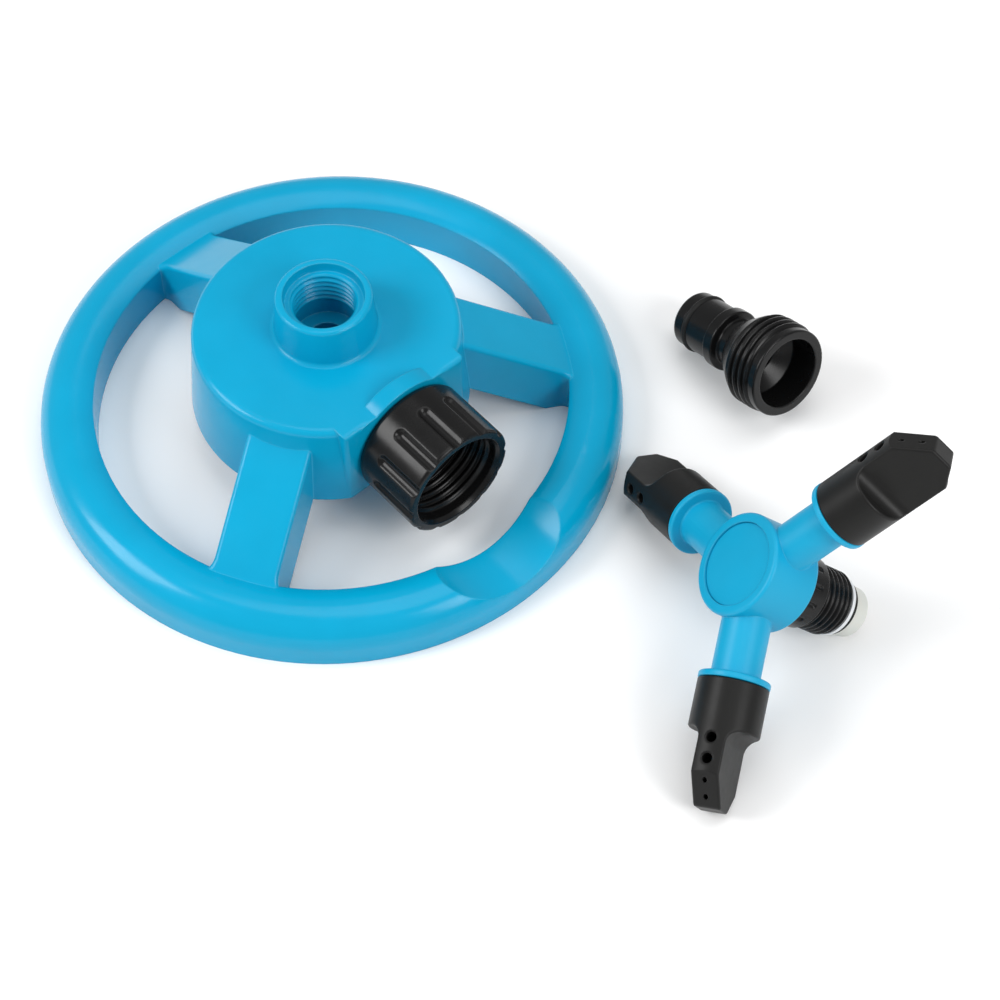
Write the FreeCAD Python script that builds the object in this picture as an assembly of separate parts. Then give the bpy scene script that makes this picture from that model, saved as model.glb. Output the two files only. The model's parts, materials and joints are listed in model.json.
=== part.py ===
import FreeCAD, Part
import math
import os
from FreeCAD import Vector

# Rotary lawn sprinkler, taken apart: a ring base with its hose nut, the spinning head that screws
# into the base's neck, and the quick-connect adapter that screws into the hose nut.
# The origin is on the floor at the middle of the base ring, +Z is up and +X is the hose inlet's way.
# Millimetres throughout. Radii are marked _R, everything else is a length, height or angle.

# Clearances
RUNNING = 0.05        # radial, turning and sliding fits
THREAD_PLAY = 0.2     # radial, between thread crests and roots
FACE_GAP = 0.3        # between faces that pass each other

# Base moulding
RING_R = 80.0
RING_WIDTH = 15.0
RING_HEIGHT = 14.6
RING_INNER_WALL = 12.6
RING_SHOULDER = 8.5
WALL = 2.5
SCOOP_DEPTH = 5.0
SCOOP_R = 29.0
DRUM_TOP_R = 35.7
DRUM_FOOT_R = 38.0
DRUM_TOP = 41.0
DRUM_FOOT = 14.0
DRUM_ROUNDING = 2.0
NECK_R = 12.8
NECK_FOOT_R = 13.9
NECK_SKIRT = 1.5
NECK_HEIGHT = 12.3
NECK_THREAD_R = 9.1
NECK_THREAD_DEPTH = 18.0
NECK_MOUTH_R = 10.9
NECK_MOUTH = 2.6
NECK_MOUTH_TAPER = 0.5
BOSS_FRONT = 32.3
BOSS_WIDTH = 40.4
BOSS_ROUNDING = 1.2
INLET_HEIGHT = 26.0
INLET_R = 17.8
INLET_BACK = 27.5
PASSAGE_R = 6.0
DOWN_BORE_R = 5.2
SPOKE_COUNT = 3
SPOKE_START = 60.0
SPOKE_WIDTH = 17.8
SPOKE_DEPTH = 18.5
SPOKE_HIGH = 32.5
SPOKE_LOW = 13.8
SPOKE_ROUNDING = 1.2
SPOKE_FLARE = 4.0
SPOKE_SLOPE_WALL = 1.2  # how much thicker the sloping top is, measured straight down

# Swivel hose nut and its tailpiece
HOSE_THREAD_R = 13.22
THREAD_RIDGE = 1.15
NUT_R = 16.7
NUT_LENGTH = 21.0
NUT_BACK_WALL = 3.0
NUT_STEP = 0.6
NUT_FLUTES = 12
FLUTE_START = 0.28     # share of the nut's length
FLUTE_R = 1.8
FLUTE_DEPTH = 1.0
TAILPIECE_R = 9.0
TAILPIECE_FLANGE_R = 11.6
TAILPIECE_FLANGE = 2.5
TAILPIECE_SEAT = 12.0
WASHER_THICKNESS = 2.5
WASHER_HOLE_R = 7.5
WASHER_POCKET_R = 12.6
CORD_R = 0.9           # of every sealing ring

# Spinning head
HUB_R = 13.75
HUB_TOP = 7.6
HUB_FOOT = 8.3
CAP_R = 11.1
CAP_THICKNESS = 2.0
CAP_RECESS = 0.5
ARM_COUNT = 3
ARM_R = 6.4
ARM_BORE_R = 2.8
FLANGE_AT = 27.8
FLANGE_R = 9.3
FLANGE_THICKNESS = 1.7
SPIGOT_R = 6.0
SPIGOT_LENGTH = 9.5
SPINDLE_R = 5.0
SPINDLE_BORE_R = 3.4
SPINDLE_FLANGE_R = 6.5
COLLAR_GRIP_R = 9.7
COLLAR_GRIP = 8.4
COLLAR_GROOVES = 12
COLLAR_GROOVE = 4.6
COLLAR_GROOVE_START = 2.5
COLLAR_GROOVE_WIDTH = 1.0
COLLAR_GROOVE_DEPTH = 0.5
COLLAR_THREAD = 10.4
THRUST_R = 8.2
THRUST_THICKNESS = 1.0
SEAL_R = 7.6
SEAL_THICKNESS = 1.8
TIP_R = 6.8
TIP_LENGTH = 5.1

# Nozzles
NOZZLE_R = 9.2
NOZZLE_LENGTH = 31.8
NOZZLE_SOCKET = 12.4
NOZZLE_BLADE = 7.3
BLADE_FILLET = 3.4
JET_ANGLE = 28.0
BLADE_BEND = 23.8
BLADE_TIP_HIGH = 1.4
BLADE_TIP_LOW = -7.2
BLADE_TIP_CHAMFER = 2.4
NOZZLE_ROUNDING = 0.6
NOZZLE_CAVITY_R = 2.4
BIG_JET_R = 1.35
BIG_JETS = (15.2, 20.6)
JET_RIM = 0.3             # step round each big jet's mouth, as wide as deep
SMALL_JET_R = 0.62
SMALL_JETS = (25.8, 29.4)

# Quick-connect adapter, its lengths in order from the threaded rim to the nipple's tip
ADAPTER_BORE_R = 10.0
ADAPTER_RIM_R = 12.7
ADAPTER_RIM = 2.4
ADAPTER_THREAD = 8.8
SHOULDER_R = 12.2
SHOULDER = 0.8
FLARE_R = 8.6
FLARE = 5.6
LATCH_R = 7.0
LATCH = 4.6
BAND_R = 8.9
BAND = 3.2
NIPPLE_R = 8.0
NIPPLE = 13.6
NIPPLE_BORE_R = 5.2
NIPPLE_GROOVE = 1.9
RING_FROM_TIP = 4.5
RING_PROUD = 0.5       # how far the adapter's sealing ring stands out of its groove

# Where the loose pieces lie: how far beyond the ring's edge, and which way from the middle
HEAD_BEYOND = 51.4
HEAD_BEARING = 16.45
HEAD_FACING = 234.8
HEAD_TILT = 47.8
HEAD_ROLL = 61.8
ADAPTER_BEYOND = 44.3
ADAPTER_BEARING = 48.72
ADAPTER_FACING = 178.0

X = Vector(1, 0, 0)
Y = Vector(0, 1, 0)
Z = Vector(0, 0, 1)
ORIGIN = Vector(0, 0, 0)


def rounded_wire(corners):
    """Closed XZ wire through corners (x, z) or (x, z, radius), each rounded by its radius."""
    places = [Vector(corner[0], 0, corner[1]) for corner in corners]
    radii = [corner[2] if len(corner) > 2 else 0 for corner in corners]
    starts, ends, edges = [], [], []
    for index, here in enumerate(places):
        back = (places[index - 1] - here).normalize()
        ahead = (places[(index + 1) % len(places)] - here).normalize()
        half = back.getAngle(ahead) / 2
        run = radii[index] / math.tan(half) if radii[index] else 0
        starts.append(here + back * run)
        ends.append(here + ahead * run)
        if run:
            bisector = (back + ahead).normalize()
            middle = here + bisector * (radii[index] / math.sin(half) - radii[index])
            edges.append(Part.Arc(starts[-1], middle, ends[-1]).toShape())
    for index, end in enumerate(ends):
        start = starts[(index + 1) % len(starts)]
        if end.distanceToPoint(start) > 1e-6:
            edges.append(Part.LineSegment(end, start).toShape())
    return Part.Wire(Part.__sortEdges__(edges))


def turned(corners):
    """Solid of revolution about Z from corners (r, z) or (r, z, radius)."""
    return Part.Face(rounded_wire(corners)).revolve(ORIGIN, Z, 360)


def slab(corners, thickness):
    """XZ outline made thickness deep, centred on the XZ plane."""
    outline = Part.Face(rounded_wire(corners))
    outline.translate(Vector(0, thickness / 2, 0))
    return outline.extrude(Vector(0, -thickness, 0))


def rod(radius, low, high):
    return Part.makeCylinder(radius, high - low, Vector(0, 0, low), Z)


def tube(outer, inner, low, high):
    return rod(outer, low, high).cut(rod(inner, low - 1, high + 1))


def ring_of(shape, count, start=0.0, centre=ORIGIN, axis=Z):
    """List of count copies of shape, evenly turned about axis."""
    copies = []
    for index in range(count):
        copy = shape.copy()
        copy.rotate(centre, axis, start + index * 360.0 / count)
        copies.append(copy)
    return copies


def seal_ring(radius, height):
    """Rubber cord ring lying round Z, radius to the middle of its cord."""
    return Part.makeTorus(radius, CORD_R, Vector(0, 0, height), Z)


def along_x(shape, start):
    """Turn a shape made up Z so that it runs along +X from start, at the inlet's height."""
    copy = shape.copy()
    copy.rotate(ORIGIN, Y, 90)
    copy.translate(Vector(start, 0, INLET_HEIGHT))
    return copy


def ring_rim(inset, low):
    """The base ring's section turned round Z: flat inner wall, shallow crown, round shoulder."""
    inner = RING_R - RING_WIDTH + inset
    outer = RING_R - inset
    top = RING_HEIGHT - inset
    shoulder = RING_SHOULDER - inset
    crest = outer - shoulder
    wall_top = RING_INNER_WALL - inset
    sag = top - wall_top
    crown = ((crest - inner) ** 2 + sag ** 2) / (2 * sag)
    turn = math.asin((crest - inner) / crown) / 2
    crown_middle = Vector(crest - crown * math.sin(turn), 0, top - crown + crown * math.cos(turn))
    diagonal = shoulder * math.sqrt(0.5)
    shoulder_middle = Vector(crest + diagonal, 0, top - shoulder + diagonal)
    foot_in, foot_out = Vector(inner, 0, low), Vector(outer, 0, low)
    crease, peak = Vector(inner, 0, wall_top), Vector(crest, 0, top)
    side = Vector(outer, 0, top - shoulder)
    edges = [
        Part.LineSegment(foot_in, crease).toShape(),
        Part.Arc(crease, crown_middle, peak).toShape(),
        Part.Arc(peak, shoulder_middle, side).toShape(),
        Part.LineSegment(side, foot_out).toShape(),
        Part.LineSegment(foot_out, foot_in).toShape(),
    ]
    return Part.Face(Part.Wire(edges)).revolve(ORIGIN, Z, 360)


def scoop(radius):
    """Lying cylinder that dishes the ring under the hose."""
    axis_height = RING_INNER_WALL - SCOOP_DEPTH + SCOOP_R
    start = Vector(DRUM_FOOT_R, 0, axis_height)
    return Part.makeCylinder(radius, RING_R, start, X)


def spoke_line(distance):
    """Height of a spoke's top face at a distance from the middle."""
    inner, outer = DRUM_FOOT_R, RING_R - RING_WIDTH
    share = (distance - inner) / (outer - inner)
    return SPOKE_HIGH + share * (SPOKE_LOW - SPOKE_HIGH)


def spoke_plan(inner, outer, inset):
    """Outline of a spoke seen from above: flared where it meets the ring, or plain for its hollow."""
    half = SPOKE_WIDTH / 2 - inset
    if inset:
        corners = [(inner, -half), (outer, -half), (outer, half), (inner, half)]
    else:
        wide, bend = half + SPOKE_FLARE, outer - SPOKE_FLARE
        corners = [(inner, -half), (bend, -half, SPOKE_FLARE), (outer, -wide),
                   (outer, wide), (bend, half, SPOKE_FLARE), (inner, half)]
    plan = Part.Face(rounded_wire(corners))
    plan.rotate(ORIGIN, X, 90)
    return plan


def spoke(inset):
    """One spoke along +X, or the hollow under it when inset by the wall."""
    inner = DRUM_FOOT_R if inset else DRUM_TOP_R - WALL
    outer = RING_R - RING_WIDTH + (0 if inset else WALL)
    drop = inset * SPOKE_SLOPE_WALL
    low = -1.0 if inset else 0.0
    high_in, high_out = spoke_line(inner) - drop, spoke_line(outer) - drop
    foot = inner + (high_in - SPOKE_DEPTH) / (high_in - high_out) * (outer - inner)
    if inset:
        side = [(inner, low), (inner, high_in), (outer, high_out), (outer, low)]
    else:
        side = [(inner, high_in - SPOKE_DEPTH), (inner, high_in), (outer, high_out),
                (outer, low), (foot, low)]
    plan = spoke_plan(inner, outer, inset)
    body = plan.extrude(Vector(0, 0, DRUM_TOP)).common(slab(side, 3 * SPOKE_WIDTH))
    if not inset:
        top_edges = [edge for edge in body.Edges if is_spoke_top_edge(edge)]
        body = body.makeFillet(SPOKE_ROUNDING, top_edges)
    return body


def is_spoke_top_edge(edge):
    """True for the two long straight edges along a spoke's top face."""
    first, last = edge.Vertexes[0].Point, edge.Vertexes[-1].Point
    on_side = abs(abs(first.y) - SPOKE_WIDTH / 2) < 0.01 and abs(abs(last.y) - SPOKE_WIDTH / 2) < 0.01
    on_top = all(abs(point.z - spoke_line(point.x)) < 0.01 for point in (first, last))
    return on_side and on_top and abs(first.x - last.x) > RING_WIDTH


def drum_shell():
    """Drum with its square inlet boss, open underneath."""
    height = DRUM_TOP - DRUM_FOOT
    drum = turned([(0, DRUM_FOOT), (DRUM_FOOT_R, DRUM_FOOT, 0.6), (DRUM_TOP_R, DRUM_TOP, DRUM_ROUNDING),
                   (0, DRUM_TOP)])
    hollow = turned([(0, DRUM_FOOT - 1), (DRUM_FOOT_R - WALL, DRUM_FOOT - 1),
                     (DRUM_TOP_R - WALL, DRUM_TOP - WALL, 1), (0, DRUM_TOP - WALL)])
    boss = Part.makeBox(BOSS_FRONT, BOSS_WIDTH, height, Vector(0, -BOSS_WIDTH / 2, DRUM_FOOT))
    front_edges = [edge for edge in boss.Edges if edge.BoundBox.XMin > BOSS_FRONT - 0.01]
    boss = boss.makeFillet(BOSS_ROUNDING, front_edges)
    boss_hollow = Part.makeBox(BOSS_FRONT - WALL, BOSS_WIDTH - 2 * WALL, height - WALL + 1,
                               Vector(0, WALL - BOSS_WIDTH / 2, DRUM_FOOT - 1))
    beyond = Part.makeBox(DRUM_FOOT_R, 2 * DRUM_FOOT_R, 2 * height, Vector(BOSS_FRONT, -DRUM_FOOT_R, 0))
    front_wall = beyond.translated(Vector(-WALL, 0, 0))
    return drum.cut(beyond).fuse(boss).cut(hollow.cut(front_wall).fuse(boss_hollow))


def base_moulding():
    ring = ring_rim(0, 0).cut(scoop(SCOOP_R))
    ring_hollow = ring_rim(WALL, -1).cut(scoop(SCOOP_R + WALL))
    spokes = ring_of(spoke(0), SPOKE_COUNT, SPOKE_START)
    spoke_hollows = ring_of(spoke(WALL), SPOKE_COUNT, SPOKE_START)
    neck_top = DRUM_TOP + NECK_HEIGHT
    skirt = NECK_FOOT_R + NECK_SKIRT
    neck = turned([(0, DRUM_TOP - WALL), (skirt, DRUM_TOP - WALL), (skirt, DRUM_TOP),
                   (NECK_FOOT_R, DRUM_TOP, 1.2), (NECK_R, neck_top, 0.9), (0, neck_top)])
    well_floor = INLET_HEIGHT - PASSAGE_R - WALL
    well = rod(NECK_THREAD_R + WALL, well_floor, DRUM_TOP)
    inlet = along_x(rod(INLET_R, 0, BOSS_FRONT - INLET_BACK), INLET_BACK)
    passage_tube = along_x(rod(TAILPIECE_R + WALL, 0, BOSS_FRONT - 1), 0)
    solid = drum_shell().multiFuse([ring, neck, well, inlet, passage_tube] + spokes)
    thread_floor = neck_top - NECK_THREAD_DEPTH
    mouth_floor, above = neck_top - NECK_MOUTH, neck_top + 1
    thread_bore = rod(NECK_THREAD_R, thread_floor, above)
    mouth = turned([(0, mouth_floor), (NECK_MOUTH_R - NECK_MOUTH_TAPER, mouth_floor),
                    (NECK_MOUTH_R, neck_top), (NECK_MOUTH_R, above), (0, above)])
    down_bore = rod(DOWN_BORE_R, well_floor + WALL, neck_top)
    cross_bore = along_x(rod(PASSAGE_R, 0, BOSS_FRONT + 1), 0)
    seat_bore = along_x(rod(TAILPIECE_R + RUNNING, 0, TAILPIECE_SEAT + 1), BOSS_FRONT - TAILPIECE_SEAT)
    return solid.cut([ring_hollow, thread_bore, mouth, down_bore, cross_bore, seat_bore] + spoke_hollows)


def inlet_tailpiece():
    """Hollow barb-less pipe end: pressed in the boss, its flange carries the nut."""
    length = TAILPIECE_SEAT + FACE_GAP + NUT_BACK_WALL + FACE_GAP + TAILPIECE_FLANGE
    flange_back = length - TAILPIECE_FLANGE
    pipe = turned([(PASSAGE_R, 0), (TAILPIECE_R - 1, 0), (TAILPIECE_R, 1.5),
                   (TAILPIECE_R, flange_back), (TAILPIECE_FLANGE_R, flange_back, 0.4),
                   (TAILPIECE_FLANGE_R, length, 0.4), (PASSAGE_R, length)])
    groove = tube(TAILPIECE_R + 1, TAILPIECE_R - 2 * CORD_R, TAILPIECE_SEAT / 2 - CORD_R,
                  TAILPIECE_SEAT / 2 + CORD_R)
    return along_x(pipe.cut(groove), BOSS_FRONT - TAILPIECE_SEAT)


def tailpiece_oring():
    ring = seal_ring(TAILPIECE_R - CORD_R, TAILPIECE_SEAT / 2)
    return along_x(ring, BOSS_FRONT - TAILPIECE_SEAT)


def washer_back():
    """Distance from the nut's back face to the washer."""
    return NUT_BACK_WALL + FACE_GAP + TAILPIECE_FLANGE


def hose_nut():
    chamfer = THREAD_RIDGE
    thread_r = HOSE_THREAD_R + THREAD_PLAY
    bore_r = TAILPIECE_R + FACE_GAP
    pocket = washer_back() + WASHER_THICKNESS + FACE_GAP
    body = turned([(bore_r, 0), (NUT_R - NUT_STEP, 0, NUT_STEP), (NUT_R, 2 * NUT_STEP, 0.4),
                   (NUT_R, NUT_LENGTH, 1.0), (thread_r + 0.8, NUT_LENGTH, 0.3),
                   (thread_r, NUT_LENGTH - chamfer), (thread_r, pocket), (WASHER_POCKET_R, pocket),
                   (WASHER_POCKET_R, NUT_BACK_WALL), (bore_r, NUT_BACK_WALL)])
    axis_r = NUT_R + FLUTE_R - FLUTE_DEPTH
    start = FLUTE_START * NUT_LENGTH + FLUTE_R
    flute = Part.makeCylinder(FLUTE_R, NUT_LENGTH, Vector(axis_r, 0, start), Z)
    flute = flute.fuse(Part.makeSphere(FLUTE_R, Vector(axis_r, 0, start)))
    body = body.cut(ring_of(flute, NUT_FLUTES))
    return along_x(body, BOSS_FRONT + FACE_GAP)


def hose_washer():
    start = BOSS_FRONT + FACE_GAP + washer_back()
    return along_x(tube(HOSE_THREAD_R - THREAD_RIDGE, WASHER_HOLE_R, 0, WASHER_THICKNESS), start)


def nozzle_seat():
    """Distance from the head's axis to the outer face of an arm's flange."""
    return FLANGE_AT + FLANGE_THICKNESS


def outwards(shape, turn):
    """Turn a shape made up Z so that it runs out along an arm, its local X as the head's axis."""
    copy = shape.copy()
    copy.rotate(ORIGIN, Y, 90)
    copy.rotate(ORIGIN, X, 180)
    copy.rotate(ORIGIN, Z, turn)
    return copy


def arm_turns():
    return [index * 360.0 / ARM_COUNT for index in range(ARM_COUNT)]


def rotor_hub():
    hub = turned([(0, -HUB_FOOT), (HUB_R, -HUB_FOOT, 0.8), (HUB_R, HUB_TOP, 1.0), (0, HUB_TOP)])
    arm = turned([(0, 0), (ARM_R, 0), (ARM_R, FLANGE_AT, 0.5), (FLANGE_R, FLANGE_AT, 0.5),
                  (FLANGE_R, nozzle_seat(), 0.3), (SPIGOT_R, nozzle_seat()),
                  (SPIGOT_R, nozzle_seat() + SPIGOT_LENGTH, 0.5), (0, nozzle_seat() + SPIGOT_LENGTH)])
    groove_at = nozzle_seat() + SPIGOT_LENGTH / 2
    groove = tube(SPIGOT_R + 1, SPIGOT_R - 2 * CORD_R, groove_at - CORD_R, groove_at + CORD_R)
    bore = rod(ARM_BORE_R, 0, nozzle_seat() + SPIGOT_LENGTH + 1)
    arm = arm.cut(groove)
    solid = hub.multiFuse([outwards(arm, turn) for turn in arm_turns()])
    chamber = rod(SPINDLE_FLANGE_R + 0.5, -HUB_FOOT + WALL, HUB_TOP - CAP_THICKNESS)
    spindle_hole = rod(SPINDLE_R + RUNNING, -HUB_FOOT - 1, 0)
    cap_seat = rod(CAP_R, HUB_TOP - CAP_THICKNESS, HUB_TOP + 1)
    return solid.cut([chamber, spindle_hole, cap_seat] + [outwards(bore, turn) for turn in arm_turns()])


def hub_cap():
    top = HUB_TOP - CAP_RECESS
    return turned([(0, HUB_TOP - CAP_THICKNESS), (CAP_R - RUNNING, HUB_TOP - CAP_THICKNESS),
                   (CAP_R - RUNNING, top, 0.3), (0, top)])


def spindle():
    """White pivot tube: held in the hub by its flange, it turns in the collar and ends in the tip."""
    tip_top = thrust_top() - THRUST_THICKNESS - SEAL_THICKNESS
    flange_low = -HUB_FOOT + WALL
    body = turned([(SPINDLE_BORE_R, tip_top - TIP_LENGTH), (TIP_R, tip_top - TIP_LENGTH, 1.0),
                   (TIP_R, tip_top, 0.4), (SPINDLE_R, tip_top), (SPINDLE_R, flange_low),
                   (SPINDLE_FLANGE_R, flange_low), (SPINDLE_FLANGE_R, flange_low + 1.8, 0.4),
                   (SPINDLE_BORE_R, flange_low + 1.8)])
    return body


def collar_top():
    return -HUB_FOOT - FACE_GAP


def thrust_top():
    """Top of the thrust washer, a face gap under the collar's thread."""
    return collar_top() - COLLAR_GRIP - COLLAR_THREAD - FACE_GAP


def bearing_collar():
    top = collar_top()
    step = top - COLLAR_GRIP
    low = step - COLLAR_THREAD
    thread_r = NECK_THREAD_R - THREAD_PLAY
    body = turned([(SPINDLE_R + RUNNING, low), (thread_r - 0.6, low), (thread_r, low + 0.6),
                   (thread_r, step), (COLLAR_GRIP_R, step, 0.3), (COLLAR_GRIP_R, top, 0.5),
                   (SPINDLE_R + RUNNING, top)])
    corner = Vector(COLLAR_GRIP_R - COLLAR_GROOVE_DEPTH, -COLLAR_GROOVE_WIDTH / 2, step + COLLAR_GROOVE_START)
    groove = Part.makeBox(2 * COLLAR_GROOVE_DEPTH, COLLAR_GROOVE_WIDTH, COLLAR_GROOVE, corner)
    return body.cut(ring_of(groove, COLLAR_GROOVES))


def thrust_washer():
    top = thrust_top()
    return tube(THRUST_R, SPINDLE_R + RUNNING, top - THRUST_THICKNESS, top)


def spindle_seal():
    top = thrust_top() - THRUST_THICKNESS
    return turned([(SPINDLE_R + RUNNING, top - SEAL_THICKNESS), (SEAL_R, top - SEAL_THICKNESS, 0.6),
                   (SEAL_R, top, 0.6), (SPINDLE_R + RUNNING, top)])


def nozzle():
    """One nozzle made up Z from its seat, jets towards local +X, flats facing local Y."""
    length, bend, chamfer = NOZZLE_LENGTH, BLADE_BEND, BLADE_TIP_CHAMFER
    body = rod(NOZZLE_R, 0, length)
    outline = slab([(-2 * NOZZLE_R, 0), (2 * NOZZLE_R, 0), (2 * NOZZLE_R, bend - 2), (NOZZLE_R, bend, 2.0),
                    (BLADE_TIP_HIGH, length, 1.5), (BLADE_TIP_LOW + chamfer, length, 1.0),
                    (BLADE_TIP_LOW - 1.5, length - 2.2 * chamfer, 1.5), (-2 * NOZZLE_R, length - 9)],
                   3 * NOZZLE_R)
    shoulder = [(-2 * NOZZLE_R, NOZZLE_SOCKET, 0), (-2 * NOZZLE_R, length + 1),
                (-NOZZLE_BLADE / 2, length + 1), (-NOZZLE_BLADE / 2, NOZZLE_SOCKET, BLADE_FILLET)]
    relief = slab(shoulder, 3 * NOZZLE_R)
    relief.rotate(ORIGIN, Z, 90)
    body = body.common(outline).cut(ring_of(relief, 2))
    body = body.makeFillet(NOZZLE_ROUNDING, [edge for edge in body.Edges if is_blade_edge(edge)])
    spigot_room = turned([(0, -1), (SPIGOT_R + RUNNING, -1), (SPIGOT_R + RUNNING, SPIGOT_LENGTH + FACE_GAP),
                          (0, SPIGOT_LENGTH + FACE_GAP)])
    cavity = rod(NOZZLE_CAVITY_R, SPIGOT_LENGTH, SMALL_JETS[-1])
    holes = [Part.makeCylinder(BIG_JET_R, NOZZLE_R + 2, Vector(0, 0, place), X) for place in BIG_JETS]
    holes += [Part.makeCylinder(BIG_JET_R + JET_RIM, 2, Vector(NOZZLE_R - JET_RIM, 0, place), X)
              for place in BIG_JETS]
    holes += [Part.makeCylinder(SMALL_JET_R, NOZZLE_R + 2, Vector(0, 0, place), X) for place in SMALL_JETS]
    return body.cut([spigot_room, cavity] + holes)


def is_blade_edge(edge):
    """True for the edges round the two flat faces of the blade, beyond the socket and its fillets."""
    box = edge.BoundBox
    on_face = box.YLength < 0.2 and min(abs(box.YMin), abs(box.YMax)) > NOZZLE_BLADE / 2 - 0.05
    return on_face and box.ZMax > NOZZLE_SOCKET + BLADE_FILLET + 0.1


def nozzle_on_arm(turn):
    piece = nozzle()
    piece.rotate(ORIGIN, Z, -JET_ANGLE)
    piece.translate(Vector(0, 0, nozzle_seat() + FACE_GAP))
    return outwards(piece, turn)


def arm_oring(turn):
    return outwards(seal_ring(SPIGOT_R - CORD_R, nozzle_seat() + SPIGOT_LENGTH / 2), turn)


def adapter_heights():
    """Where the thread, shoulder, flare, latch waist, band and nipple end."""
    heights, height = [], ADAPTER_RIM
    for length in (ADAPTER_THREAD, SHOULDER, FLARE, LATCH, BAND, NIPPLE):
        height += length
        heights.append(height)
    return heights


def adapter():
    """Nipple towards +Z, threaded end at the bottom."""
    thread_top, shoulder_top, flare_top, latch_top, band_top, tip = adapter_heights()
    body = turned([(ADAPTER_BORE_R, 0), (ADAPTER_RIM_R, 0, 0.5), (ADAPTER_RIM_R, ADAPTER_RIM),
                   (HOSE_THREAD_R, ADAPTER_RIM), (HOSE_THREAD_R, thread_top), (SHOULDER_R, thread_top),
                   (SHOULDER_R, shoulder_top, 0.4), (FLARE_R, flare_top, 0.6),
                   (LATCH_R, flare_top + 1.0, 0.6), (LATCH_R, latch_top - 0.6, 0.4),
                   (BAND_R, latch_top, 0.4), (BAND_R, band_top, 0.5), (NIPPLE_R, band_top + 0.6, 0.3),
                   (NIPPLE_R, tip, 1.0), (NIPPLE_BORE_R, tip), (NIPPLE_BORE_R, shoulder_top),
                   (ADAPTER_BORE_R, shoulder_top - 3.0)])
    groove_at = tip - RING_FROM_TIP
    groove = tube(NIPPLE_R + 2, NIPPLE_R - 2 * CORD_R + RING_PROUD, groove_at - NIPPLE_GROOVE / 2,
                  groove_at + NIPPLE_GROOVE / 2)
    return body.cut(groove)


def adapter_oring():
    return seal_ring(NIPPLE_R - CORD_R + RING_PROUD, adapter_heights()[-1] - RING_FROM_TIP)


def beyond_ring(distance, bearing):
    """Floor point a distance outside the base ring."""
    reach, way = RING_R + distance, math.radians(bearing)
    return Vector(reach * math.cos(way), reach * math.sin(way), 0)


def surface_points(shape):
    """Points over a shape's surface, close enough together to find where it touches the floor."""
    return shape.tessellate(0.05)[0]


def resting(groups, down):
    """Direction and depth of the floor under three point groups that each touch it."""
    for _ in range(30):
        low = [max(points, key=lambda point: point.dot(down)) for points in groups]
        normal = (low[1] - low[0]).cross(low[2] - low[0]).normalize()
        down = normal if normal.dot(down) > 0 else normal * -1
    return down, max(low[0].dot(down), low[1].dot(down), low[2].dot(down))


def head_placement(pieces):
    """Where the head comes to rest: on two nozzle tips and the spindle's tip."""
    lean = FreeCAD.Rotation(Z, HEAD_FACING).multiply(FreeCAD.Rotation(Y, HEAD_TILT))
    start = lean.multiply(FreeCAD.Rotation(Z, HEAD_ROLL))
    guess = start.inverted().multVec(Z * -1)
    tips = [surface_points(pieces[name]) for name in ("nozzle_1", "nozzle_3", "spindle")]
    down, depth = resting(tips, guess)
    level = FreeCAD.Rotation(start.multVec(down), Z * -1)
    turn = level.multiply(start)
    return FreeCAD.Placement(beyond_ring(HEAD_BEYOND, HEAD_BEARING) + Z * depth, turn)


def adapter_placement():
    """On its side, touching the floor with its last thread and the nipple's band."""
    thread_top, _, _, _, band_top, _ = adapter_heights()
    slope = math.degrees(math.asin((HOSE_THREAD_R - BAND_R) / (band_top - thread_top)))
    turn = FreeCAD.Rotation(Z, ADAPTER_FACING).multiply(FreeCAD.Rotation(Y, 90 + slope))
    lowest = min(turn.multVec(point).z for point in surface_points(adapter()))
    return FreeCAD.Placement(beyond_ring(ADAPTER_BEYOND, ADAPTER_BEARING) - Z * lowest, turn)


def build():
    """Every piece by name, in place."""
    base = {
        "base_moulding": base_moulding(),
        "inlet_tailpiece": inlet_tailpiece(),
        "tailpiece_oring": tailpiece_oring(),
        "hose_nut": hose_nut(),
        "hose_washer": hose_washer(),
    }
    head = {
        "rotor_hub": rotor_hub(),
        "hub_cap": hub_cap(),
        "spindle": spindle(),
        "bearing_collar": bearing_collar(),
        "thrust_washer": thrust_washer(),
        "spindle_seal": spindle_seal(),
    }
    for number, turn in enumerate(arm_turns(), start=1):
        head[f"nozzle_{number}"] = nozzle_on_arm(turn)
        head[f"arm_oring_{number}"] = arm_oring(turn)
    loose = {"hose_adapter": adapter(), "adapter_oring": adapter_oring()}
    lay_down(head, head_placement(head))
    lay_down(loose, adapter_placement())
    return {**base, **head, **loose}


def lay_down(pieces, placement):
    for name, piece in pieces.items():
        pieces[name] = piece.transformed(placement.toMatrix())


def main():
    os.makedirs("parts", exist_ok=True)
    for name, piece in build().items():
        solids = piece.Solids
        shape = solids[0] if len(solids) == 1 else Part.makeCompound(solids)
        shape.exportStep(f"parts/{name}.step")
        box = shape.BoundBox
        print(f"{name}: {len(solids)} solid, volume {shape.Volume:.0f}, valid {shape.isValid()},"
              f" z {box.ZMin:.2f} to {box.ZMax:.2f}")


main()
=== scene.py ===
import json
import math

import bmesh
import bpy
from mathutils import Matrix, Vector


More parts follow.
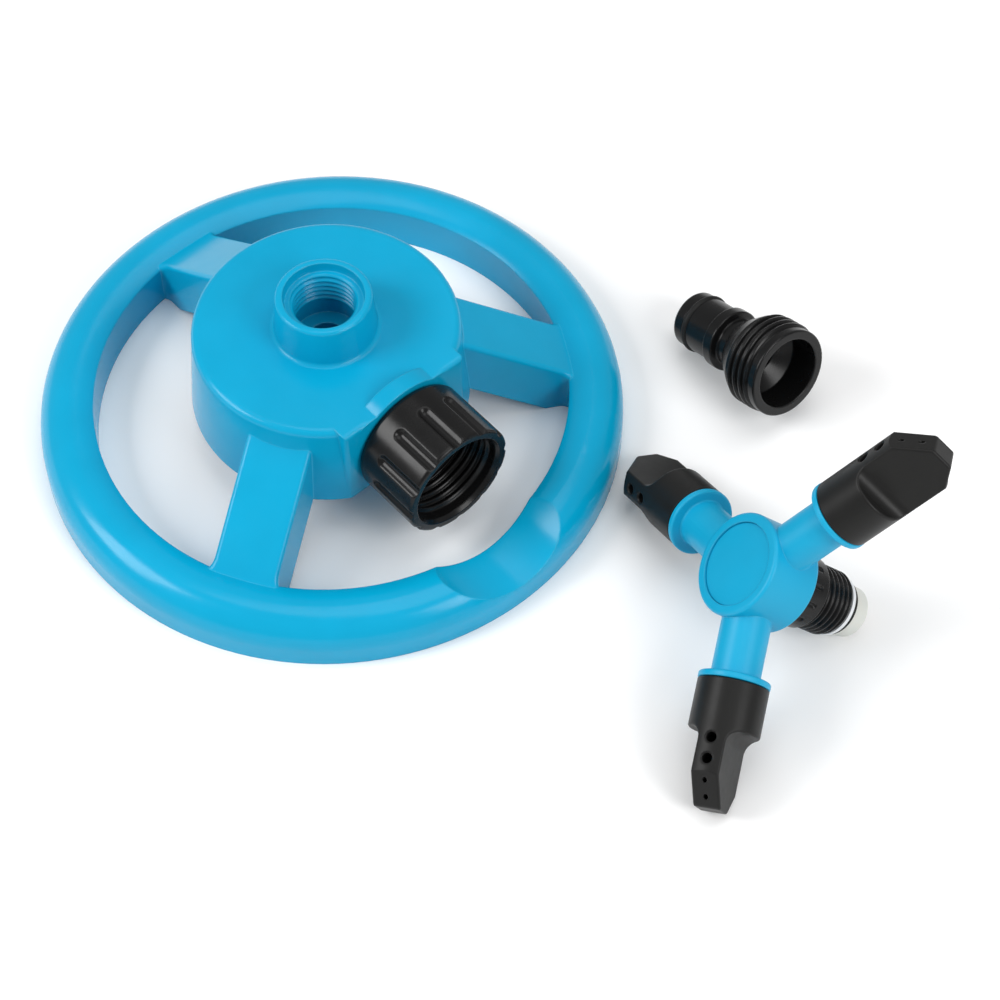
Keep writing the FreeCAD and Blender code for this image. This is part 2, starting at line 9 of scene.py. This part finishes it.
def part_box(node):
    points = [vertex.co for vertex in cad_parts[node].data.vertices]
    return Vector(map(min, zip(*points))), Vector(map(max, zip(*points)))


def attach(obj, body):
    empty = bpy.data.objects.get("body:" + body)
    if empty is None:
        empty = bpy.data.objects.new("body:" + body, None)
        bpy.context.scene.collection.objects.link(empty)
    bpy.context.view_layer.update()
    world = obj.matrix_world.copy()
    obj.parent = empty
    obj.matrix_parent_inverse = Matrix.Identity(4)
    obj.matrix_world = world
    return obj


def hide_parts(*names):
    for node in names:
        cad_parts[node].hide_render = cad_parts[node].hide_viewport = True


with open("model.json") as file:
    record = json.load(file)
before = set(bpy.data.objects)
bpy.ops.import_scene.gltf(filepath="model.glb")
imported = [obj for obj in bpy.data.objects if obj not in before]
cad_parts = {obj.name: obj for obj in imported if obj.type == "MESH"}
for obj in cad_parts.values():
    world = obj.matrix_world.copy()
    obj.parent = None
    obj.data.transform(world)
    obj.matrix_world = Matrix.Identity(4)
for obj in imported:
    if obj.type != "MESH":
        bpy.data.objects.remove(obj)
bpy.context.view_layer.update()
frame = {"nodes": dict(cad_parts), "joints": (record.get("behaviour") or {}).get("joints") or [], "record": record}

# ---------------------------------------------------------------------------
# Base moulding: the ring, three sloping spokes, drum, neck and inlet boss in one piece.
# It is injection moulded in glossy blue plastic, with slightly cloudy pigment, an uneven
# polish from the tool and a painted highlight that makes its edges and corners paler in patches.

PIGMENT_CLOUD = 26.0
HIGHLIGHT_PATCH = 4.0
POLISH_PATCH = 14.0
POLISH_STREAK = 1.6
STREAK_SHARE = 0.35
STREAK_SPAN = (0.45, 0.95)
EDGE_SPAN = (0.72, 0.96)
LEAST_HIGHLIGHT = 0.35
WAVE_WIDTH = 22
WAVE_DEPTH = 3
FIRST_COLOUR, SECOND_COLOUR, MIXED_COLOUR = 6, 7, 2


def moulded_plastic(name, colour, gloss, grain, corner, edge_highlight, cloud=0.05, glow=0.0, shine=0.5):
    """Plastic with cloudy pigment, uneven gloss, fine grain (size and depth in mm) and a painted highlight: paler
    colour along edges and corners.
    """
    material = bpy.data.materials.new(name)
    material.use_nodes = True
    nodes, links = material.node_tree.nodes, material.node_tree.links
    shader = nodes["Principled BSDF"]
    shader.inputs["Specular IOR Level"].default_value = shine
    place = nodes.new("ShaderNodeTexCoord").outputs["Object"]

    def noise(size, detail=3.0):
        pattern = nodes.new("ShaderNodeTexNoise")
        pattern.inputs["Scale"].default_value = 1000.0 / size
        pattern.inputs["Detail"].default_value = detail
        links.new(place, pattern.inputs["Vector"])
        return pattern.outputs["Fac"]

    def spread(value, low, high, start=0.3, stop=0.7):
        span = nodes.new("ShaderNodeMapRange")
        links.new(value, span.inputs["Value"])
        for socket, number in (("From Min", start), ("From Max", stop), ("To Min", low), ("To Max", high)):
            span.inputs[socket].default_value = number
        return span.outputs["Result"]

    def blend(share, first, second):
        mix = nodes.new("ShaderNodeMix")
        mix.data_type = "RGBA"
        links.new(share, mix.inputs["Factor"])
        for index, value in ((FIRST_COLOUR, first), (SECOND_COLOUR, second)):
            socket = mix.inputs[index]
            if isinstance(value, bpy.types.NodeSocket):
                links.new(value, socket)
            else:
                socket.default_value = (*value, 1.0)
        return mix.outputs[MIXED_COLOUR]

    darker = tuple(part * (1 - cloud) for part in colour)
    lighter = tuple(part * (1 + cloud) for part in colour)
    pigment = blend(spread(noise(PIGMENT_CLOUD), 0.0, 1.0), darker, lighter)

    # Painted highlight: where the rounded-edge normal turns away from the face normal, the paler edge colour is
    # mixed into the base colour in noisy patches.
    rounding = nodes.new("ShaderNodeBevel")
    rounding.samples = 6
    rounding.inputs["Radius"].default_value = corner / 1000.0
    facing = nodes.new("ShaderNodeVectorMath")
    facing.operation = "DOT_PRODUCT"
    links.new(rounding.outputs["Normal"], facing.inputs[0])
    links.new(nodes.new("ShaderNodeNewGeometry").outputs["Normal"], facing.inputs[1])
    edge_highlight_share = nodes.new("ShaderNodeMath")
    edge_highlight_share.operation = "MULTIPLY"
    links.new(spread(facing.outputs["Value"], 1.0, 0.0, *EDGE_SPAN), edge_highlight_share.inputs[0])
    links.new(spread(noise(HIGHLIGHT_PATCH), LEAST_HIGHLIGHT, 1.0), edge_highlight_share.inputs[1])
    links.new(blend(edge_highlight_share.outputs[0], pigment, edge_highlight), shader.inputs["Base Color"])

    streaks = nodes.new("ShaderNodeMath")
    streaks.operation = "MULTIPLY_ADD"
    links.new(noise(POLISH_STREAK, 6.0), streaks.inputs[0])
    streaks.inputs[1].default_value = STREAK_SHARE
    links.new(noise(POLISH_PATCH), streaks.inputs[2])
    links.new(spread(streaks.outputs[0], *gloss, *STREAK_SPAN), shader.inputs["Roughness"])

    size, depth = grain
    waves = nodes.new("ShaderNodeBump")
    waves.inputs["Strength"].default_value = 0.5
    waves.inputs["Distance"].default_value = depth * WAVE_DEPTH / 1000.0
    links.new(noise(size * WAVE_WIDTH, 1.0), waves.inputs["Height"])
    links.new(rounding.outputs["Normal"], waves.inputs["Normal"])
    skin = nodes.new("ShaderNodeBump")
    skin.inputs["Strength"].default_value = 0.6
    skin.inputs["Distance"].default_value = depth / 1000.0
    links.new(noise(size, 2.0), skin.inputs["Height"])
    links.new(waves.outputs["Normal"], skin.inputs["Normal"])
    links.new(skin.outputs["Normal"], shader.inputs["Normal"])
    if glow:
        shader.inputs["Subsurface Weight"].default_value = glow
        shader.inputs["Subsurface Radius"].default_value = (0.6, 0.9, 1.0)
        shader.inputs["Subsurface Scale"].default_value = 0.002
    return material


def finish_node(node, material):
    """The node keeps its shape and takes this material."""
    for slot in frame["nodes"][node].material_slots:
        slot.material = material


BLUE = (0.0010, 0.330, 0.555)
blue_gloss = moulded_plastic("glossy_blue_moulding", BLUE, gloss=(0.15, 0.26), grain=(0.5, 0.0008),
                             corner=0.7, edge_highlight=(0.05, 0.47, 0.69), shine=0.24)
finish_node("base_moulding", blue_gloss)

# ---------------------------------------------------------------------------
# Neck thread: the female thread moulded inside the base's neck, where the head screws in.
# A sleeve sunk into the bore's wall carries one continuous right-hand ridge that runs out
# at both ends.

ARC_SHARES = (0.0, 0.25, 0.5, 0.75, 1.0)
WELD = 0.004


def rounded_outline(corners, step):
    """Closed outline through corners (radius, height, rounding), with a point at least every step."""
    points = []
    for index, corner in enumerate(corners):
        here = Vector(corner[:2])
        back = (Vector(corners[index - 1][:2]) - here).normalized()
        ahead = (Vector(corners[(index + 1) % len(corners)][:2]) - here).normalized()
        rounding = corner[2] if len(corner) > 2 else 0.0
        if not rounding:
            points.append(here)
            continue
        half = back.angle(ahead) / 2
        run = rounding / math.tan(half)
        centre = here + (back + ahead).normalized() * rounding / math.sin(half)
        start, stop = here + back * run - centre, here + ahead * run - centre
        turn = start.angle_signed(stop)
        for share in ARC_SHARES:
            angle = -turn * share
            cos, sin = math.cos(angle), math.sin(angle)
            points.append(centre + Vector((start.x * cos - start.y * sin, start.x * sin + start.y * cos)))
    outline = []
    for index, here in enumerate(points):
        following = points[(index + 1) % len(points)]
        parts = max(1, math.ceil((following - here).length / step))
        outline += [here.lerp(following, part / parts) for part in range(parts)]
    return outline


def turned_blank(name, corners, segments, step, thread_wall=None, run_out=1.0):
    """Blank in mm, turned about Z. thread_wall (radius, low, high) marks where a thread may stand."""
    outline = rounded_outline(corners, step)
    mesh = bmesh.new()
    weight = mesh.verts.layers.float.new("thread")
    rings = []
    for radius, height in outline:
        ring = []
        for index in range(segments):
            angle = 2 * math.pi * index / segments
            ring.append(mesh.verts.new((radius * math.cos(angle), radius * math.sin(angle), height)))
            if thread_wall and abs(radius - thread_wall[0]) < 0.01:
                inside = min(height - thread_wall[1], thread_wall[2] - height) / run_out
                ring[-1][weight] = max(0.0, min(1.0, inside))
        rings.append(ring)
    for index, ring in enumerate(rings):
        beside = rings[(index + 1) % len(rings)]
        for here in range(segments):
            there = (here + 1) % segments
            mesh.faces.new((ring[here], ring[there], beside[there], beside[here]))
    bmesh.ops.recalc_face_normals(mesh, faces=mesh.faces)
    data = bpy.data.meshes.new(name)
    mesh.to_mesh(data)
    mesh.free()
    blank = bpy.data.objects.new(name, data)
    bpy.context.scene.collection.objects.link(blank)
    return blank


def new_recipe(name, sizes):
    """Empty node tree with named sizes, and a short way to add a calculation to it."""
    tree = bpy.data.node_groups.new(name, "GeometryNodeTree")
    tree.interface.new_socket("Blank", in_out="INPUT", socket_type="NodeSocketGeometry")
    for size in sizes:
        tree.interface.new_socket(size, in_out="INPUT", socket_type="NodeSocketFloat")
    tree.interface.new_socket("Finish", in_out="INPUT", socket_type="NodeSocketMaterial")
    tree.interface.new_socket("Piece", in_out="OUTPUT", socket_type="NodeSocketGeometry")
    given = tree.nodes.new("NodeGroupInput").outputs

    def calculate(operation, *values):
        node = tree.nodes.new("ShaderNodeMath")
        node.operation = operation
        for socket, value in zip(node.inputs, values):
            if isinstance(value, bpy.types.NodeSocket):
                tree.links.new(value, socket)
            else:
                socket.default_value = value
        return node.outputs[0]

    return tree, given, calculate


def polar(tree, calculate):
    """Distance from the axis, turn round it (0 to 1) and height of each point, and its position."""
    position = tree.nodes.new("GeometryNodeInputPosition").outputs[0]
    parts = tree.nodes.new("ShaderNodeSeparateXYZ")
    tree.links.new(position, parts.inputs[0])
    across, along, height = parts.outputs
    distance = calculate("SQRT", calculate("ADD", calculate("MULTIPLY", across, across),
                                           calculate("MULTIPLY", along, along)))
    turn = calculate("DIVIDE", calculate("ARCTAN2", along, across), 2 * math.pi)
    return distance, turn, height, (across, along)


def close_recipe(tree, given, calculate, distance, wanted, place, height):
    """Moves each point to its wanted distance from the axis, and ends the tree."""
    nodes, links = tree.nodes, tree.links
    scale = calculate("DIVIDE", wanted, distance)
    combined = nodes.new("ShaderNodeCombineXYZ")
    links.new(calculate("MULTIPLY", place[0], scale), combined.inputs[0])
    links.new(calculate("MULTIPLY", place[1], scale), combined.inputs[1])
    links.new(height, combined.inputs[2])
    move = nodes.new("GeometryNodeSetPosition")
    links.new(given["Blank"], move.inputs["Geometry"])
    links.new(combined.outputs[0], move.inputs["Position"])
    weld = nodes.new("GeometryNodeMergeByDistance")
    weld.inputs["Distance"].default_value = WELD
    links.new(move.outputs[0], weld.inputs["Geometry"])
    smooth = nodes.new("GeometryNodeSetShadeSmooth")
    links.new(weld.outputs[0], smooth.inputs["Geometry"])
    realize = nodes.new("GeometryNodeRealizeInstances")
    links.new(smooth.outputs[0], realize.inputs["Geometry"])
    finish = nodes.new("GeometryNodeSetMaterial")
    links.new(realize.outputs[0], finish.inputs["Geometry"])
    links.new(given["Finish"], finish.inputs["Material"])
    links.new(finish.outputs[0], nodes.new("NodeGroupOutput").inputs[0])


def follow_recipe(blank, tree, finish, **sizes):
    """Shapes the blank by the tree with these sizes, and leaves it a plain mesh."""
    shaping = blank.modifiers.new(tree.name, "NODES")
    shaping.node_group = tree
    for socket in tree.interface.items_tree:
        if socket.in_out == "INPUT" and socket.name in sizes:
            shaping[socket.identifier] = float(sizes[socket.name])
        elif socket.name == "Finish":
            shaping[socket.identifier] = finish
    evaluated = blank.evaluated_get(bpy.context.evaluated_depsgraph_get())
    made = bpy.data.meshes.new_from_object(evaluated)
    blank.modifiers.remove(shaping)
    blank.data = made


def set_down(blank, place):
    """Takes the finished blank from mm on its own axis to its place in metres."""
    blank.data.transform(place @ Matrix.Scale(0.001, 4))
    if "thread" in blank.data.attributes:
        blank.data.attributes.remove(blank.data.attributes["thread"])
    return blank


# Screw thread: height up the axis less the turn round it, in pitches, says where the ridge stands.
# Half the crest's width is CREST of half a pitch, and the flank falls away from there.
CREST = 0.22
thread_recipe, given, calculate = new_recipe("screw_thread", ("Pitch", "Ridge", "Flank"))
distance, turn, height, place = polar(thread_recipe, calculate)
phase = calculate("FRACT", calculate("SUBTRACT", calculate("DIVIDE", height, given["Pitch"]), turn))
to_crest = calculate("MULTIPLY", calculate("ABSOLUTE", calculate("SUBTRACT", phase, 0.5)), 2.0)
flank = thread_recipe.nodes.new("ShaderNodeMapRange")
flank.interpolation_type = "SMOOTHSTEP"
thread_recipe.links.new(to_crest, flank.inputs["Value"])
thread_recipe.links.new(calculate("ADD", CREST, given["Flank"]), flank.inputs["From Min"])
flank.inputs["From Max"].default_value = CREST
flank.inputs["To Min"].default_value = 0.0
flank.inputs["To Max"].default_value = 1.0
room = thread_recipe.nodes.new("GeometryNodeInputNamedAttribute")
room.data_type = "FLOAT"
room.inputs["Name"].default_value = "thread"
ridge = calculate("MULTIPLY", calculate("MULTIPLY", flank.outputs["Result"], given["Ridge"]),
                  room.outputs["Attribute"])
close_recipe(thread_recipe, given, calculate, distance, calculate("ADD", distance, ridge), place, height)

mount_of = {mount["name"]: mount for mount in frame["record"]["mounts"]}
SLEEVE_PROUD = 0.04
SLEEVE_WALL = 0.5
SLEEVE_DEPTH = 13.0
NECK_BORE = mount_of["neck_thread"]["dims"]["r_mm"] - SLEEVE_PROUD
NECK_PITCH = 1.75
NECK_RIDGE = 0.75
NECK_FLANK = 0.55
NECK_MOUTH = 2.6
MOUTH_GAP = 0.05
neck_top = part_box("base_moulding")[1].z * 1000.0
thread_low = neck_top - SLEEVE_DEPTH
thread_high = neck_top - NECK_MOUTH - MOUTH_GAP
neck_thread = turned_blank(
    "neck_thread",
    [(NECK_BORE, thread_low), (NECK_BORE + SLEEVE_WALL, thread_low),
     (NECK_BORE + SLEEVE_WALL, thread_high), (NECK_BORE, thread_high)],
    segments=160, step=0.16, thread_wall=(NECK_BORE, thread_low, thread_high), run_out=0.8)
follow_recipe(neck_thread, thread_recipe, blue_gloss, Pitch=NECK_PITCH, Ridge=-NECK_RIDGE,
              Flank=NECK_FLANK)
set_down(neck_thread, Matrix())
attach(neck_thread, "base")

# ---------------------------------------------------------------------------
# Inlet tailpiece: the black pipe end pressed into the boss, with its O-ring in a groove.
# Its flange holds the swivel nut on.

BLACK = (0.0060, 0.0060, 0.0062)
black_gloss = moulded_plastic("glossy_black_moulding", BLACK, gloss=(0.20, 0.32), grain=(0.35, 0.002),
                              corner=0.35, edge_highlight=(0.022, 0.022, 0.022), cloud=0.12, shine=0.24)
rubber = moulded_plastic("black_rubber", (0.010, 0.010, 0.010), gloss=(0.45, 0.65), grain=(0.25, 0.010),
                         corner=0.2, edge_highlight=(0.02, 0.02, 0.02), cloud=0.15, shine=0.2)
finish_node("inlet_tailpiece", black_gloss)
finish_node("tailpiece_oring", rubber)

# ---------------------------------------------------------------------------
# Hose nut: the black swivel nut, moulded with twelve round-ended grip flutes that run out
# through its mouth, and a female hose thread inside. A rubber washer lies at its bottom.

NUT_RADIUS = 16.7
NUT_LENGTH = 21.0
NUT_ROOT = mount_of["nut_thread"]["dims"]["r_mm"]
NUT_BACK = 3.0
NUT_STEP = 0.6
POCKET_RADIUS = 12.6
POCKET_TOP = 8.6
NUT_BORE = 9.3
NUT_LIP = 0.8
NUT_LEAD_IN = 1.15
NUT_RIDGE = 1.05
NUT_PLAIN = 3.0
HOSE_PITCH = 2.2
HOSE_FLANK = 0.5
FLUTES = 12
FLUTE_ROUND = 1.9
FLUTE_DEEP = 1.1
FLUTE_START = 0.28
PAST_MOUTH = 5

flute_recipe, given, calculate = new_recipe(
    "grip_flutes", ("Count", "Outside", "Round", "Deep", "Start", "Stop"))
distance, turn, height, place = polar(flute_recipe, calculate)
count_round = calculate("ADD", calculate("MULTIPLY", turn, given["Count"]), 0.5)
share = calculate("SUBTRACT", calculate("FRACT", count_round), 0.5)
angle = calculate("DIVIDE", calculate("MULTIPLY", share, 2 * math.pi), given["Count"])
across = calculate("MULTIPLY", angle, given["Outside"])
beyond = calculate("MAXIMUM", calculate("SUBTRACT", given["Start"], height),
                   calculate("SUBTRACT", height, given["Stop"]))
beyond = calculate("MAXIMUM", beyond, 0.0)
away = calculate("ADD", calculate("MULTIPLY", across, across), calculate("MULTIPLY", beyond, beyond))
round_squared = calculate("MULTIPLY", given["Round"], given["Round"])
inside = calculate("MAXIMUM", calculate("SUBTRACT", round_squared, away), 0.0)
axis = calculate("ADD", calculate("SUBTRACT", given["Outside"], given["Deep"]), given["Round"])
bottom = calculate("SUBTRACT", axis, calculate("SQRT", inside))
close_recipe(flute_recipe, given, calculate, distance, calculate("MINIMUM", distance, bottom), place, height)

nut_low, nut_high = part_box("hose_nut")
nut_middle = Matrix.Translation((nut_low.x, 0, (nut_low.z + nut_high.z) / 2))
nut_place = nut_middle @ Matrix.Rotation(math.pi / 2, 4, "Y")
hose_nut = turned_blank(
    "hose_nut",
    [(NUT_BORE, 0.0, 0.2), (NUT_RADIUS - NUT_STEP, 0.0, 0.4), (NUT_RADIUS, 2 * NUT_STEP, 0.5),
     (NUT_RADIUS, NUT_LENGTH, 0.9), (NUT_ROOT + NUT_LIP, NUT_LENGTH, 0.3),
     (NUT_ROOT, NUT_LENGTH - NUT_LEAD_IN),
     (NUT_ROOT, POCKET_TOP), (POCKET_RADIUS, POCKET_TOP), (POCKET_RADIUS, NUT_BACK),
     (NUT_BORE, NUT_BACK, 0.2)],
    segments=320, step=0.28, thread_wall=(NUT_ROOT, POCKET_TOP, NUT_LENGTH - NUT_PLAIN), run_out=1.0)
follow_recipe(hose_nut, thread_recipe, black_gloss, Pitch=HOSE_PITCH, Ridge=-NUT_RIDGE,
              Flank=HOSE_FLANK)
follow_recipe(hose_nut, flute_recipe, black_gloss, Count=FLUTES, Outside=NUT_RADIUS, Round=FLUTE_ROUND,
              Deep=FLUTE_DEEP, Start=FLUTE_START * NUT_LENGTH + FLUTE_ROUND,
              Stop=NUT_LENGTH + PAST_MOUTH)
set_down(hose_nut, nut_place)
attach(hose_nut, "nut")
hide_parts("hose_nut")
finish_node("hose_washer", rubber)

# ---------------------------------------------------------------------------
# Rotor hub and cap: the head's blue body with its three flanged arms, and the flat disc that
# closes its chamber. Both are moulded in the same blue, but with a duller, satin skin.

SATIN_BLUE = (0.0035, 0.345, 0.575)
blue_satin = moulded_plastic("satin_blue_moulding", SATIN_BLUE, gloss=(0.34, 0.46), grain=(0.22, 0.004),
                             corner=0.5, edge_highlight=(0.05, 0.45, 0.67), shine=0.28)
finish_node("rotor_hub", blue_satin)
finish_node("hub_cap", blue_satin)
for number in (1, 2, 3):
    finish_node(f"arm_oring_{number}", rubber)

# ---------------------------------------------------------------------------
# Bearing collar: the black sleeve that screws into the neck and in which the head turns.
# Twelve short grip grooves are moulded round its top, above a single-start male thread.

joint_of = {joint["name"]: joint for joint in frame["joints"]}
head_up = Vector(joint_of["head_spin"]["axis"]).normalized()
first_arm = Vector(joint_of["nozzle_1_turn"]["axis"]).normalized()
head_turn = Matrix((first_arm, head_up.cross(first_arm), head_up)).transposed().to_4x4()
head_place = Matrix.Translation(joint_of["head_spin"]["pos_m"]) @ head_turn

COLLAR_TOP = -8.6
COLLAR_STEP = -17.0
COLLAR_LOW = -27.4
COLLAR_GRIP = 9.7
COLLAR_RIDGE = 0.8
COLLAR_ROOT = mount_of["head_thread"]["dims"]["r_mm"] - COLLAR_RIDGE
COLLAR_BORE = 5.05
COLLAR_GROOVES = 12
GROOVE_ROUND = 0.65
GROOVE_DEEP = 0.55
GROOVE_ABOVE_STEP = 3.0
GROOVE_BELOW_TOP = 1.9
bearing_collar = turned_blank(
    "bearing_collar",
    [(COLLAR_BORE, COLLAR_LOW, 0.1), (COLLAR_ROOT, COLLAR_LOW, 0.3), (COLLAR_ROOT, COLLAR_STEP),
     (COLLAR_GRIP, COLLAR_STEP, 0.35), (COLLAR_GRIP, COLLAR_TOP, 0.6), (COLLAR_BORE, COLLAR_TOP, 0.1)],
    segments=240, step=0.18, thread_wall=(COLLAR_ROOT, COLLAR_LOW + 0.3, COLLAR_STEP - 0.4), run_out=0.7)
follow_recipe(bearing_collar, thread_recipe, black_gloss, Pitch=NECK_PITCH, Ridge=COLLAR_RIDGE,
              Flank=NECK_FLANK)
follow_recipe(bearing_collar, flute_recipe, black_gloss, Count=COLLAR_GROOVES, Outside=COLLAR_GRIP,
              Round=GROOVE_ROUND, Deep=GROOVE_DEEP, Start=COLLAR_STEP + GROOVE_ABOVE_STEP,
              Stop=COLLAR_TOP - GROOVE_BELOW_TOP)
set_down(bearing_collar, head_place)
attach(bearing_collar, "collar")
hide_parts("bearing_collar")

# ---------------------------------------------------------------------------
# Spindle, thrust washer and seal: the white acetal pivot tube ends in a rounded tip under the
# collar, with a thin white washer and a black rubber seal ring above it.

acetal = moulded_plastic("white_acetal", (0.62, 0.63, 0.59), gloss=(0.32, 0.48), grain=(0.3, 0.006),
                         corner=0.4, edge_highlight=(0.72, 0.73, 0.70), cloud=0.03, glow=0.25)
washer_white = moulded_plastic("white_washer", (0.72, 0.74, 0.76), gloss=(0.30, 0.42), grain=(0.3, 0.004),
                               corner=0.15, edge_highlight=(0.80, 0.82, 0.84), cloud=0.03)
finish_node("spindle", acetal)
finish_node("thrust_washer", washer_white)
finish_node("spindle_seal", rubber)

# ---------------------------------------------------------------------------
# Nozzles: three dark-grey turning jets, pushed on the arms. They are moulded with a fine spark
# grain, which scatters light, and their drilled jets stay crisp.

black_matte = moulded_plastic("matt_black_moulding", (0.0095, 0.0095, 0.0092), gloss=(0.34, 0.46),
                              grain=(0.16, 0.006), corner=0.5, edge_highlight=(0.028, 0.028, 0.028), cloud=0.10,
                              shine=0.20)
for number in (1, 2, 3):
    finish_node(f"nozzle_{number}", black_matte)

# ---------------------------------------------------------------------------
# Hose adapter: the black moulded quick-connect tail. It has a male hose thread behind its rim, a
# latch waist, a band and a nipple with an O-ring in its groove. It lies loose on its side.

RIM = 2.4
THREAD_LONG = 8.8
thread_mount = mount_of["adapter_thread"]
mouth_way = Vector(thread_mount["axis"]).normalized()
mouth = Vector(thread_mount["pos_m"]) + mouth_way * (RIM + THREAD_LONG / 2) / 1000.0
adapter_place = Matrix.Translation(mouth) @ (-mouth_way).to_track_quat("Z", "Y").to_matrix().to_4x4()
THREAD_RIDGE = 1.15
THREAD_ROOT = thread_mount["dims"]["r_mm"] - THREAD_RIDGE
THREAD_END = RIM + THREAD_LONG
FLARE_END = THREAD_END + 6.4
BAND_START = FLARE_END + 4.6
BAND_END = BAND_START + 3.2
TIP = BAND_END + 13.6
GROOVE_LOW = TIP - 5.45
GROOVE_HIGH = TIP - 3.55
NIPPLE_BORE = 5.2
MOUTH_BORE = 10.0
RIM_RADIUS = 12.7
SHOULDER_RADIUS = 12.2
SHOULDER = 0.8
FLARE_RADIUS = 8.6
WAIST_RADIUS = 7.0
BAND_RADIUS = 8.9
NIPPLE_RADIUS = 8.0
GROOVE_BOTTOM = 6.7
BORE_STEP = 2.2
hose_adapter = turned_blank(
    "hose_adapter",
    [(MOUTH_BORE, 0.0, 0.4), (RIM_RADIUS, 0.0, 0.5), (RIM_RADIUS, RIM, 0.3), (THREAD_ROOT, RIM + 0.2),
     (THREAD_ROOT, THREAD_END), (SHOULDER_RADIUS, THREAD_END),
     (SHOULDER_RADIUS, THREAD_END + SHOULDER, 0.4), (FLARE_RADIUS, FLARE_END, 0.6),
     (WAIST_RADIUS, FLARE_END + 1.0, 0.6), (WAIST_RADIUS, BAND_START - 0.6, 0.4),
     (BAND_RADIUS, BAND_START, 0.4), (BAND_RADIUS, BAND_END, 0.5), (NIPPLE_RADIUS, BAND_END + 0.6, 0.3),
     (NIPPLE_RADIUS, GROOVE_LOW, 0.12), (GROOVE_BOTTOM, GROOVE_LOW, 0.12),
     (GROOVE_BOTTOM, GROOVE_HIGH, 0.12), (NIPPLE_RADIUS, GROOVE_HIGH, 0.12), (NIPPLE_RADIUS, TIP, 0.9),
     (NIPPLE_BORE, TIP, 0.4), (NIPPLE_BORE, THREAD_END + SHOULDER, 0.4),
     (MOUTH_BORE, THREAD_END - BORE_STEP, 0.4)],
    segments=192, step=0.2, thread_wall=(THREAD_ROOT, RIM + 0.2, THREAD_END), run_out=0.9)
follow_recipe(hose_adapter, thread_recipe, black_gloss, Pitch=HOSE_PITCH, Ridge=THREAD_RIDGE,
              Flank=HOSE_FLANK)
set_down(hose_adapter, adapter_place)
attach(hose_adapter, "adapter")
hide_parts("hose_adapter")
finish_node("adapter_oring", rubber)

# ---------------------------------------------------------------------------
# Stage: a plain pale floor, an even white surround, three large soft lights and the camera.

FLOOR_HALF = 4
FLOOR_SIDES = ((-1, -1), (1, -1), (1, 1), (-1, 1))
floor_corners = [(side * FLOOR_HALF, end * FLOOR_HALF, 0) for side, end in FLOOR_SIDES]
floor_mesh = bpy.data.meshes.new("floor")
floor_mesh.from_pydata(floor_corners, [], [(0, 1, 2, 3)])
floor = bpy.data.objects.new("floor", floor_mesh)
bpy.context.scene.collection.objects.link(floor)
floor_white = bpy.data.materials.new("pale_floor")
floor_white.use_nodes = True
floor_shader = floor_white.node_tree.nodes["Principled BSDF"].inputs
floor_shader["Base Color"].default_value = (0.95, 0.95, 0.95, 1)
floor_shader["Roughness"].default_value = 0.9
floor_shader["Specular IOR Level"].default_value = 0.1
floor_mesh.materials.append(floor_white)

world = bpy.data.worlds.new("studio")
world.use_nodes = True
surround = world.node_tree.nodes["Background"].inputs
surround["Color"].default_value = (1.0, 1.0, 1.0, 1)
surround["Strength"].default_value = 0.42
bpy.context.scene.world = world


def soft_light(name, place, aim, size, power):
    """Rectangular softbox at place, turned towards aim."""
    lamp = bpy.data.lights.new(name, "AREA")
    lamp.shape = "RECTANGLE"
    lamp.size, lamp.size_y = size
    lamp.energy = power
    light = bpy.data.objects.new(name, lamp)
    light.location = place
    light.rotation_euler = (Vector(aim) - Vector(place)).to_track_quat("-Z", "Y").to_euler()
    bpy.context.scene.collection.objects.link(light)


MIDDLE = (0.05, 0.02, 0.02)
soft_light("key_left", (-0.45, -0.75, 0.75), MIDDLE, (0.5, 0.6), 8.0)
soft_light("key_right", (0.95, 0.15, 0.70), MIDDLE, (0.5, 0.6), 6.0)
soft_light("top", (0.0, 0.25, 1.3), MIDDLE, (1.0, 1.0), 5.5)

CAMERA_PLACE = (0.3606, -0.2565, 0.5994)
CAMERA_WAY = (-0.4249, 0.3746, -0.8241)
camera_data = bpy.data.cameras.new("camera")
camera_data.lens = 96.5
camera_data.sensor_width = 36.0
camera_data.clip_start = 0.01
camera = bpy.data.objects.new("camera", camera_data)
camera.location = CAMERA_PLACE
camera.rotation_euler = Vector(CAMERA_WAY).to_track_quat("-Z", "Y").to_euler()
bpy.context.scene.collection.objects.link(camera)
bpy.context.scene.camera = camera
bpy.context.scene.view_settings.view_transform = "Standard"
